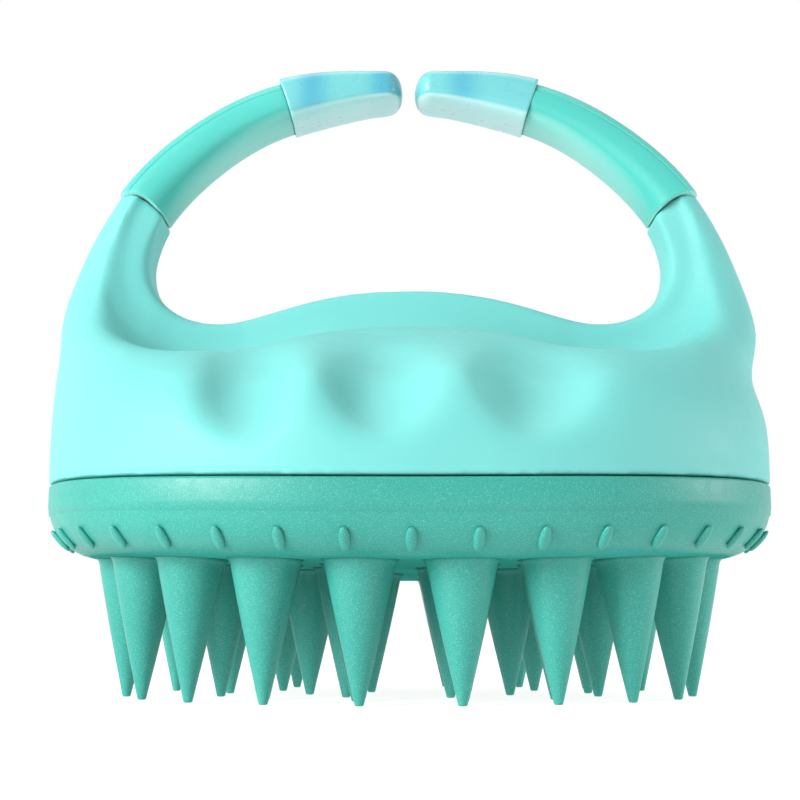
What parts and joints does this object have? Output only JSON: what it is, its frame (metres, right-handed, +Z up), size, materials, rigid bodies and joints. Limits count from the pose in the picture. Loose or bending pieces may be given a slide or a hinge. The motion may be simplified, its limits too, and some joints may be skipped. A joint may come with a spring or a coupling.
{
  "type": "scalp massager brush",
  "caption": "Handheld scalp massager brush: an open two-arm ring grip on a scalloped shell, over a removable soft head of massage cones.",
  "frame": {"origin": "on the floor plane through the cone tips, under the middle of the brush", "axes": "+Z up from the cone tips to the ring grip, X along the brush from arm to arm, -Y towards the front"},
  "size_m": [0.0926, 0.0774, 0.0838],
  "materials": {
    "shell": "satin",
    "silicone": "soft matte",
    "grip": "soft satin",
    "cap": "satin gloss",
    "core": "natural",
    "inner_plastic": "natural",
    "seal": "matte",
    "steel": "plain"
  },
  "bodies": {
    "head": {"silicone_head": "silicone", "rim_ribs": "silicone", "outer_cones": "silicone", "middle_cones": "silicone", "inner_cones": "silicone", "carrier_plate": "inner_plastic", "seal_ring": "seal"},
    "handle": {"upper_shell": "shell", "base_plate": "inner_plastic", "base_screws": "steel", "left_hinge_pin": "steel", "right_hinge_pin": "steel"},
    "left_arm": {"left_arm_core": "core", "left_grip": "grip", "left_tip_cap": "cap"},
    "right_arm": {"right_arm_core": "core", "right_grip": "grip", "right_tip_cap": "cap"}
  },
  "joints": [
    {"name": "head_release", "type": "slide", "parent": "head", "child": "handle", "axis": [0, 0, 1], "range_m": [0, 0.03]},
    {"name": "left_arm_flex", "type": "hinge", "parent": "handle", "child": "left_arm", "pos_m": [-0.03939, 0, 0.05797], "axis": [0, -1, 0], "range_deg": [0, 9], "stiffness_Nm_per_rad": 0.5},
    {"name": "right_arm_flex", "type": "hinge", "parent": "handle", "child": "right_arm", "pos_m": [0.03939, 0, 0.05797], "axis": [0, 1, 0], "range_deg": [0, 9], "stiffness_Nm_per_rad": 0.5}
  ]
}
